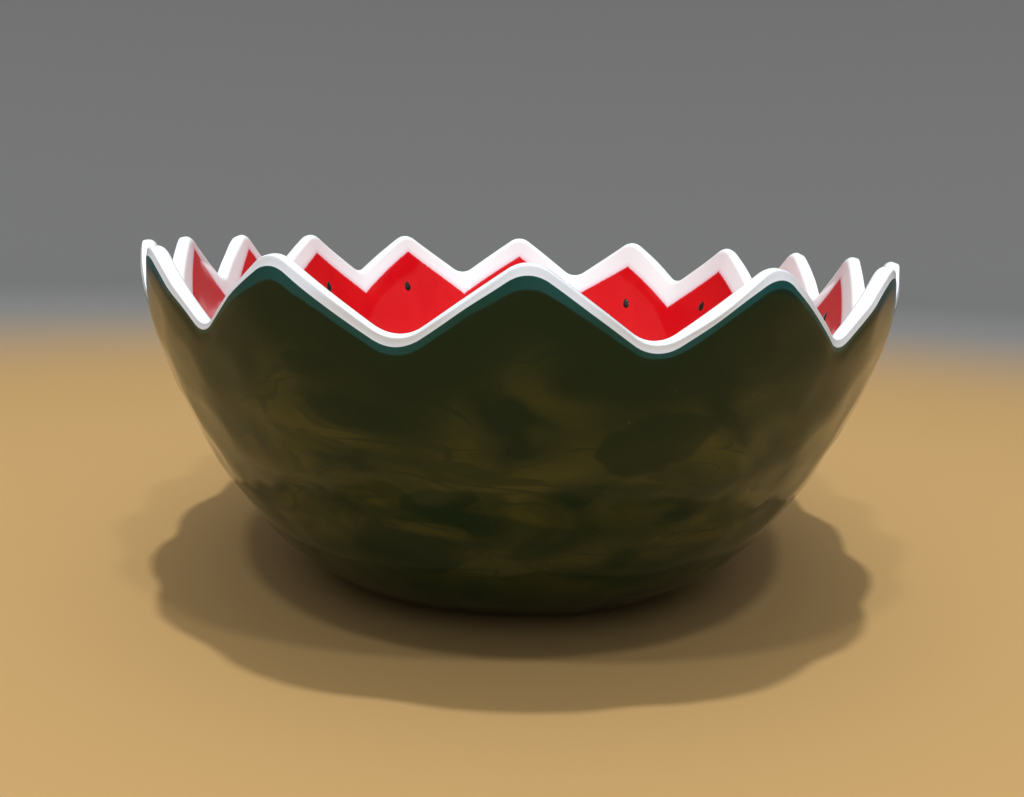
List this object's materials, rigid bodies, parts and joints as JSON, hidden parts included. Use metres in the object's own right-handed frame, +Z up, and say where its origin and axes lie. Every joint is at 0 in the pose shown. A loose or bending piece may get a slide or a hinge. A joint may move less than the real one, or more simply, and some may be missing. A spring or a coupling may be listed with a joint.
{
  "type": "ceramic watermelon bowl",
  "caption": "Oval glazed ceramic serving bowl in the form of a hollowed watermelon half, green outside, red with painted seeds inside, with a white zigzag rim.",
  "frame": {"origin": "centre of the flat foot, on the surface that the bowl stands on", "axes": "+Z up, Y along the oval's long axis with a tooth tip at each end, X across"},
  "size_m": [0.23, 0.3238, 0.1018],
  "materials": {
    "glaze": "high gloss glaze, dark green outside, white on the rim, red inside with black seeds"
  },
  "bodies": {
    "root": {"bowl": "glaze"}
  },
  "joints": []
}
